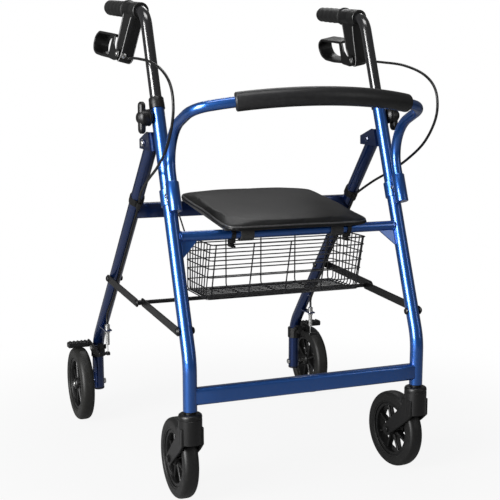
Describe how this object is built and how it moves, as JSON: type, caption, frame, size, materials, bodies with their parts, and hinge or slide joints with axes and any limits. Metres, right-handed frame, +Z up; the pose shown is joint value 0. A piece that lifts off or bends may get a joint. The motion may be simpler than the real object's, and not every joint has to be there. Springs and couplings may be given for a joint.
{
  "type": "wheeled walker",
  "caption": "Folding wheeled walker with swivelling front casters, padded seat, wire basket, backrest bar and height-adjustable handles with loop brakes.",
  "frame": {"origin": "on the floor under the centre of the object's base rectangle", "axes": "+Y points back towards the person who pushes it, +X to that person's right, +Z up"},
  "size_m": [0.632, 0.7587, 0.92],
  "materials": {
    "black_plastic": "satin",
    "black_steel": "satin",
    "black_tube": "gloss",
    "blue_paint": "gloss metallic",
    "dark_blue_paint": "gloss",
    "foam": "matt",
    "grip_rubber": "matt",
    "rim": "satin",
    "seat_board": "matt",
    "tyre": "matt",
    "vinyl": "satin",
    "zinc_steel": "bright"
  },
  "bodies": {
    "front_frame": {"backrest_pad": "foam", "backrest_socket_left": "blue_paint", "backrest_socket_right": "blue_paint", "backrest_tube": "blue_paint", "basket_hanger_left": "black_plastic", "basket_hanger_right": "black_plastic", "brake_cable_left": "black_plastic", "brake_cable_right": "black_plastic", "front_crossbar": "blue_paint", "front_leg_left": "blue_paint", "front_leg_right": "blue_paint", "height_collar_left": "black_plastic", "height_collar_right": "black_plastic", "pivot_bracket_left": "dark_blue_paint", "pivot_bracket_right": "dark_blue_paint", "seat_crosstube": "blue_paint"},
    "basket": {"basket": "black_steel"},
    "brake_left": {"brake_arm_left": "black_plastic"},
    "brake_right": {"brake_arm_right": "black_plastic"},
    "rear_frame": {"brake_bracket_left": "black_plastic", "brake_bracket_right": "black_plastic", "cable_adjuster_left": "zinc_steel", "cable_adjuster_right": "zinc_steel", "cable_clip_left": "black_plastic", "cable_clip_right": "black_plastic", "rear_axle_left": "zinc_steel", "rear_axle_right": "zinc_steel", "rear_crosstube": "blue_paint", "rear_leg_left": "blue_paint", "rear_leg_right": "blue_paint"},
    "handle_left": {"brake_housing_left": "black_plastic", "hand_grip_left": "grip_rubber", "handle_tube_left": "black_tube"},
    "handle_right": {"brake_housing_right": "black_plastic", "hand_grip_right": "grip_rubber", "handle_tube_right": "black_tube"},
    "lever_left": {"brake_lever_left": "black_plastic"},
    "lever_right": {"brake_lever_right": "black_plastic"},
    "caster_left": {"caster_fork_left": "black_plastic", "front_axle_left": "zinc_steel"},
    "caster_right": {"caster_fork_right": "black_plastic", "front_axle_right": "zinc_steel"},
    "knob_left": {"clamp_knob_left": "black_plastic"},
    "knob_right": {"clamp_knob_right": "black_plastic"},
    "front_links": {"fold_rod": "black_steel", "front_link_left": "black_steel", "front_link_right": "black_steel"},
    "front_wheel_left": {"front_rim_left": "rim", "front_tyre_left": "tyre"},
    "front_wheel_right": {"front_rim_right": "rim", "front_tyre_right": "tyre"},
    "rear_links": {"rear_link_left": "black_steel", "rear_link_right": "black_steel"},
    "rear_wheel_left": {"rear_rim_left": "rim", "rear_tyre_left": "tyre"},
    "rear_wheel_right": {"rear_rim_right": "rim", "rear_tyre_right": "tyre"},
    "seat": {"seat_board": "seat_board", "seat_cushion": "vinyl"}
  },
  "joints": [
    {"name": "fold", "type": "hinge", "parent": "front_frame", "child": "rear_frame", "pos_m": [0, -0.10968, 0.64312], "axis": [-1, 0, 0], "range_deg": [0, 33], "deforming": ["brake_cable_left", "brake_cable_right"]},
    {"name": "front_link_fold", "type": "hinge", "parent": "front_frame", "child": "front_links", "pos_m": [0, -0.28145, 0.32205], "axis": [1, 0, 0], "range_deg": [0, 37.5]},
    {"name": "rear_link_fold", "type": "hinge", "parent": "rear_frame", "child": "rear_links", "pos_m": [0, 0.14737, 0.34743], "axis": [-1, 0, 0], "range_deg": [0, 44.5]},
    {"name": "basket_shift", "type": "slide", "parent": "front_frame", "child": "basket", "axis": [0, -1, 0], "range_m": [0, 0.054]},
    {"name": "seat_hinge", "type": "hinge", "parent": "front_frame", "child": "seat", "pos_m": [0, -0.22052, 0.48076], "axis": [1, 0, 0], "range_deg": [0, 85]},
    {"name": "handle_height_left", "type": "slide", "parent": "front_frame", "child": "handle_left", "axis": [0, 0.3584, 0.9336], "range_m": [-0.1, 0.025], "deforming": ["brake_cable_left"]},
    {"name": "brake_squeeze_left", "type": "hinge", "parent": "handle_left", "child": "lever_left", "pos_m": [-0.25234, -0.00022, 0.80536], "axis": [0.9725, 0.0643, -0.2237], "range_deg": [0, 10], "stiffness_Nm_per_rad": 4, "springref_deg": -2.86},
    {"name": "brake_shoe_left", "type": "hinge", "parent": "rear_frame", "child": "brake_left", "pos_m": [-0.2468, 0.26888, 0.17], "axis": [-1, 0, 0], "range_deg": [0, 4.2]},
    {"name": "knob_turn_left", "type": "hinge", "parent": "front_frame", "child": "knob_left", "pos_m": [-0.23, -0.14007, 0.69035], "axis": [1, 0, 0], "range_deg": [-180, 180]},
    {"name": "caster_swivel_left", "type": "hinge", "parent": "front_frame", "child": "caster_left", "pos_m": [-0.23, -0.30112, 0], "axis": [0, 0, 1], "continuous": true},
    {"name": "front_wheel_spin_left", "type": "hinge", "parent": "caster_left", "child": "front_wheel_left", "pos_m": [-0.23, -0.23812, 0.075], "axis": [1, 0, 0], "continuous": true},
    {"name": "rear_wheel_spin_left", "type": "hinge", "parent": "rear_frame", "child": "rear_wheel_left", "pos_m": [-0.2885, 0.29688, 0.0825], "axis": [1, 0, 0], "continuous": true},
    {"name": "handle_height_right", "type": "slide", "parent": "front_frame", "child": "handle_right", "axis": [0, 0.3584, 0.9336], "range_m": [-0.1, 0.025], "deforming": ["brake_cable_right"]},
    {"name": "brake_squeeze_right", "type": "hinge", "parent": "handle_right", "child": "lever_right", "pos_m": [0.25234, -0.00022, 0.80536], "axis": [0.9725, -0.0643, 0.2237], "range_deg": [0, 10], "stiffness_Nm_per_rad": 4, "springref_deg": -2.86},
    {"name": "brake_shoe_right", "type": "hinge", "parent": "rear_frame", "child": "brake_right", "pos_m": [0.2468, 0.26888, 0.17], "axis": [-1, 0, 0], "range_deg": [0, 4.2]},
    {"name": "knob_turn_right", "type": "hinge", "parent": "front_frame", "child": "knob_right", "pos_m": [0.23, -0.14007, 0.69035], "axis": [1, 0, 0], "range_deg": [-180, 180]},
    {"name": "caster_swivel_right", "type": "hinge", "parent": "front_frame", "child": "caster_right", "pos_m": [0.23, -0.30112, 0], "axis": [0, 0, 1], "continuous": true},
    {"name": "front_wheel_spin_right", "type": "hinge", "parent": "caster_right", "child": "front_wheel_right", "pos_m": [0.22342, -0.23847, 0.075], "axis": [0.9945, 0.1045, 0], "continuous": true},
    {"name": "rear_wheel_spin_right", "type": "hinge", "parent": "rear_frame", "child": "rear_wheel_right", "pos_m": [0.2885, 0.29688, 0.0825], "axis": [1, 0, 0], "continuous": true}
  ],
  "couplings": [
    {"joint": "front_link_fold", "follows": "fold", "ratio": 1.115},
    {"joint": "rear_link_fold", "follows": "fold", "ratio": 1.321},
    {"joint": "basket_shift", "follows": "fold", "m_per_rad": 0.0917},
    {"joint": "brake_shoe_left", "follows": "brake_squeeze_left", "ratio": 0.4},
    {"joint": "brake_shoe_right", "follows": "brake_squeeze_right", "ratio": 0.4}
  ]
}
